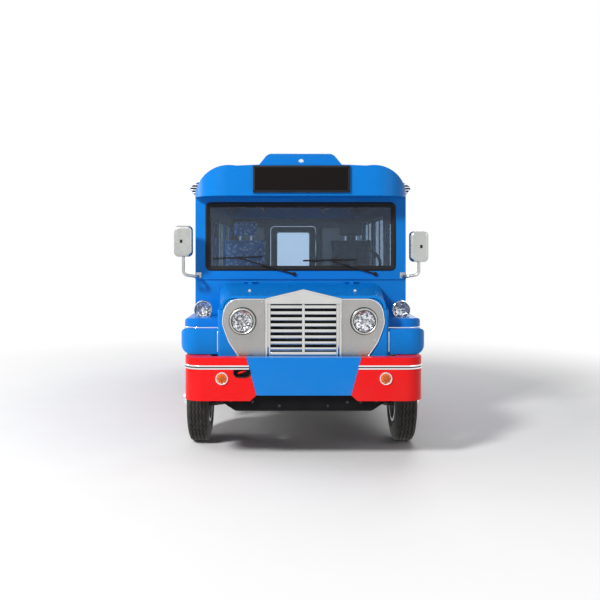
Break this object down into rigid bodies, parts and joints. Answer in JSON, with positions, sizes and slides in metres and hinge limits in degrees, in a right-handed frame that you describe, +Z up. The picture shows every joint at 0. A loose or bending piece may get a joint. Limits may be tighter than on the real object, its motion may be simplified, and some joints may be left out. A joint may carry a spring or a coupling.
{
  "type": "city bus",
  "caption": "Small long-nosed city bus with a blue body, red bumper corners, bright slatted grille, roof pod and folding entry door",
  "frame": {"origin": "on the ground under the middle of the overall length and width", "axes": "front faces -Y, +X is the driver's side (vehicle's left), +Z up"},
  "size_m": [2.366, 6.1839, 2.692],
  "materials": {
    "body_paint": "gloss",
    "bumper_paint": "gloss",
    "eave_paint": "satin",
    "chassis_black": "satin",
    "forged_steel": "matte",
    "engine_metal": "matte",
    "radiator_core": "satin",
    "wheel_paint": "satin",
    "tyre_rubber": "matte",
    "stainless_bright": "polished",
    "lamp_chrome": "polished",
    "signal_amber": "gloss",
    "tail_red": "gloss",
    "mirror_chrome": "polished",
    "tinted_glass": "polished",
    "trim_black": "matte",
    "display_black": "gloss",
    "floor_cover": "matte",
    "seat_cloth": "matte",
    "rail_steel": "satin"
  },
  "bodies": {
    "body": {"benches": "seat_cloth", "bumper_centre": "body_paint", "bumper_corners": "bumper_paint", "dashboard": "trim_black", "destination_sign": "display_black", "engine": "engine_metal", "fender_lamps": "lamp_chrome", "fenders": "body_paint", "floor": "floor_cover", "frame": "chassis_black", "front_axle": "chassis_black", "front_seats": "seat_cloth", "front_valance": "chassis_black", "front_wall": "body_paint", "grab_rails": "rail_steel", "grille": "stainless_bright", "headlamp_plates": "stainless_bright", "headlamps": "lamp_chrome", "leaf_springs": "chassis_black", "mirrors": "mirror_chrome", "nose": "body_paint", "propeller_shaft": "chassis_black", "radiator": "radiator_core", "rear_axle": "chassis_black", "rear_bumper": "bumper_paint", "rear_wall": "body_paint", "roof": "body_paint", "roof_eaves": "eave_paint", "roof_pod": "body_paint", "side_glass": "tinted_glass", "side_wall_left": "body_paint", "side_wall_right": "body_paint", "tail_lamps": "tail_red", "turn_signals": "signal_amber", "windscreen": "tinted_glass", "wipers": "trim_black"},
    "knuckle_left": {"knuckle_left": "forged_steel"},
    "knuckle_right": {"knuckle_right": "forged_steel"},
    "track_rod": {"track_rod": "forged_steel"},
    "wheel_front_left": {"wheel_front_left": "wheel_paint", "tyre_front_left": "tyre_rubber"},
    "wheel_front_right": {"wheel_front_right": "wheel_paint", "tyre_front_right": "tyre_rubber"},
    "wheel_rear_left": {"wheel_rear_left": "wheel_paint", "tyre_rear_left": "tyre_rubber"},
    "wheel_rear_right": {"wheel_rear_right": "wheel_paint", "tyre_rear_right": "tyre_rubber"},
    "hood": {"hood": "body_paint"},
    "driver_door": {"driver_door": "body_paint", "driver_door_glass": "tinted_glass"},
    "entry_front": {"entry_leaf_front": "body_paint", "entry_leaf_front_glass": "tinted_glass"},
    "entry_rear": {"entry_leaf_rear": "body_paint", "entry_leaf_rear_glass": "tinted_glass"},
    "rear_door": {"rear_door": "body_paint", "rear_door_glass": "tinted_glass"},
    "steering_wheel": {"steering_wheel": "trim_black"}
  },
  "joints": [
    {"name": "steer_left", "type": "hinge", "parent": "body", "child": "knuckle_left", "pos_m": [0.8, -2.195, 0.388], "axis": [0, 0, 1], "range_deg": [-35, 35]},
    {"name": "steer_right", "type": "hinge", "parent": "body", "child": "knuckle_right", "pos_m": [-0.8, -2.195, 0.388], "axis": [0, 0, 1], "range_deg": [-35, 35]},
    {"name": "track_rod_slide", "type": "slide", "parent": "body", "child": "track_rod", "axis": [1, 0, 0], "range_m": [-0.125, 0.125]},
    {"name": "steering_wheel_turn", "type": "hinge", "parent": "body", "child": "steering_wheel", "pos_m": [0.575, -1.575, 1.598], "axis": [0, 0.766, 0.6428], "range_deg": [-420, 420]},
    {"name": "roll_front_left", "type": "hinge", "parent": "knuckle_left", "child": "wheel_front_left", "pos_m": [0.928, -2.195, 0.388], "axis": [1, 0, 0], "continuous": true},
    {"name": "roll_front_right", "type": "hinge", "parent": "knuckle_right", "child": "wheel_front_right", "pos_m": [-0.928, -2.195, 0.388], "axis": [1, 0, 0], "continuous": true},
    {"name": "roll_rear_left", "type": "hinge", "parent": "body", "child": "wheel_rear_left", "pos_m": [0.77, 1.205, 0.388], "axis": [1, 0, 0], "continuous": true},
    {"name": "roll_rear_right", "type": "hinge", "parent": "body", "child": "wheel_rear_right", "pos_m": [-0.77, 1.205, 0.388], "axis": [1, 0, 0], "continuous": true},
    {"name": "hood_lift", "type": "hinge", "parent": "body", "child": "hood", "pos_m": [0, -2.001, 1.452], "axis": [-1, 0, 0], "range_deg": [0, 50]},
    {"name": "driver_door_swing", "type": "hinge", "parent": "body", "child": "driver_door", "pos_m": [1.019, -1.557, 1.5], "axis": [0, 0, -1], "range_deg": [0, 70]},
    {"name": "entry_front_swing", "type": "hinge", "parent": "body", "child": "entry_front", "pos_m": [-1.019, -0.617, 1.35], "axis": [0, 0, 1], "range_deg": [0, 80]},
    {"name": "entry_rear_fold", "type": "hinge", "parent": "entry_front", "child": "entry_rear", "pos_m": [-0.953, -0.22, 1.35], "axis": [0, 0, 1], "range_deg": [-160, 0]},
    {"name": "rear_door_swing", "type": "hinge", "parent": "body", "child": "rear_door", "pos_m": [0.357, 3.003, 1.5], "axis": [0, 0, -1], "range_deg": [0, 110]}
  ],
  "couplings": [
    {"joint": "steer_right", "follows": "steer_left", "ratio": 1},
    {"joint": "track_rod_slide", "follows": "steer_left", "m_per_rad": -0.2},
    {"joint": "steering_wheel_turn", "follows": "steer_left", "ratio": 12},
    {"joint": "entry_rear_fold", "follows": "entry_front_swing", "ratio": -2}
  ]
}
